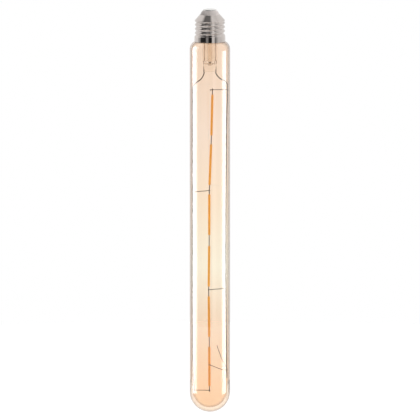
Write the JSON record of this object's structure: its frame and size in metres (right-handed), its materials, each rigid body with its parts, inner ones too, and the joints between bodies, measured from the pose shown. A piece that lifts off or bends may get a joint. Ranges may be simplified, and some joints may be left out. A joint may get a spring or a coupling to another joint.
{
  "type": "led filament bulb",
  "caption": "Long tubular amber-glass LED filament bulb with a screw cap, a glass stem and a string of filament rods carried by two support wires.",
  "frame": {"origin": "centre of the centre contact's outer face, on the lamp's axis", "axes": "+Z along the lamp's axis from the glass tip to the cap, +X to the right in the front view, +Y away from the viewer"},
  "size_m": [0.035, 0.035, 0.3527],
  "materials": {
    "nickel_shell": "nickel plate, bright",
    "insulator": "moulded, satin",
    "contact": "nickel plate, satin",
    "solder": "solder, slightly dull",
    "cement": "cured cement, matt",
    "amber_glass": "clear amber, polished",
    "clear_glass": "clear, fire polished",
    "support_wire": "nickel-plated wire, drawn",
    "thin_wire": "bare wire, drawn",
    "copper_wire": "copper, drawn",
    "phosphor": "phosphor in silicone, matt",
    "filament_pin": "plated strip",
    "board": "glass-fibre laminate",
    "black_package": "moulded",
    "capacitor_can": "sleeved can",
    "resistor_body": "lacquered",
    "insulated_wire": "insulated wire"
  },
  "bodies": {
    "root": {"cap_shell": "nickel_shell", "cap_insulator": "insulator", "centre_contact": "contact", "centre_solder": "solder", "shell_solder": "solder", "cap_cement": "cement", "driver_board": "board", "bridge_rectifier": "black_package", "driver_chip": "black_package", "smoothing_capacitor": "capacitor_can", "fuse_resistor": "resistor_body", "sense_resistor": "resistor_body", "live_lead": "insulated_wire", "neutral_lead": "insulated_wire", "glass_envelope": "amber_glass", "flare_stem": "clear_glass", "exhaust_tube": "clear_glass", "left_outer_lead": "copper_wire", "right_outer_lead": "copper_wire", "left_dumet_seal": "copper_wire", "right_dumet_seal": "copper_wire", "left_support_lead": "support_wire", "right_support_lead": "support_wire", "cross_wire_top": "support_wire", "cross_wire_upper_left": "support_wire", "cross_wire_lower_right": "support_wire", "cross_wire_bottom": "support_wire", "centring_spring": "thin_wire", "filament_1": "phosphor", "filament_1_pins": "filament_pin", "filament_2": "phosphor", "filament_2_pins": "filament_pin", "filament_3": "phosphor", "filament_3_pins": "filament_pin", "filament_4": "phosphor", "filament_4_pins": "filament_pin", "filament_5": "phosphor", "filament_5_pins": "filament_pin", "filament_6": "phosphor", "filament_6_pins": "filament_pin"}
  },
  "joints": []
}
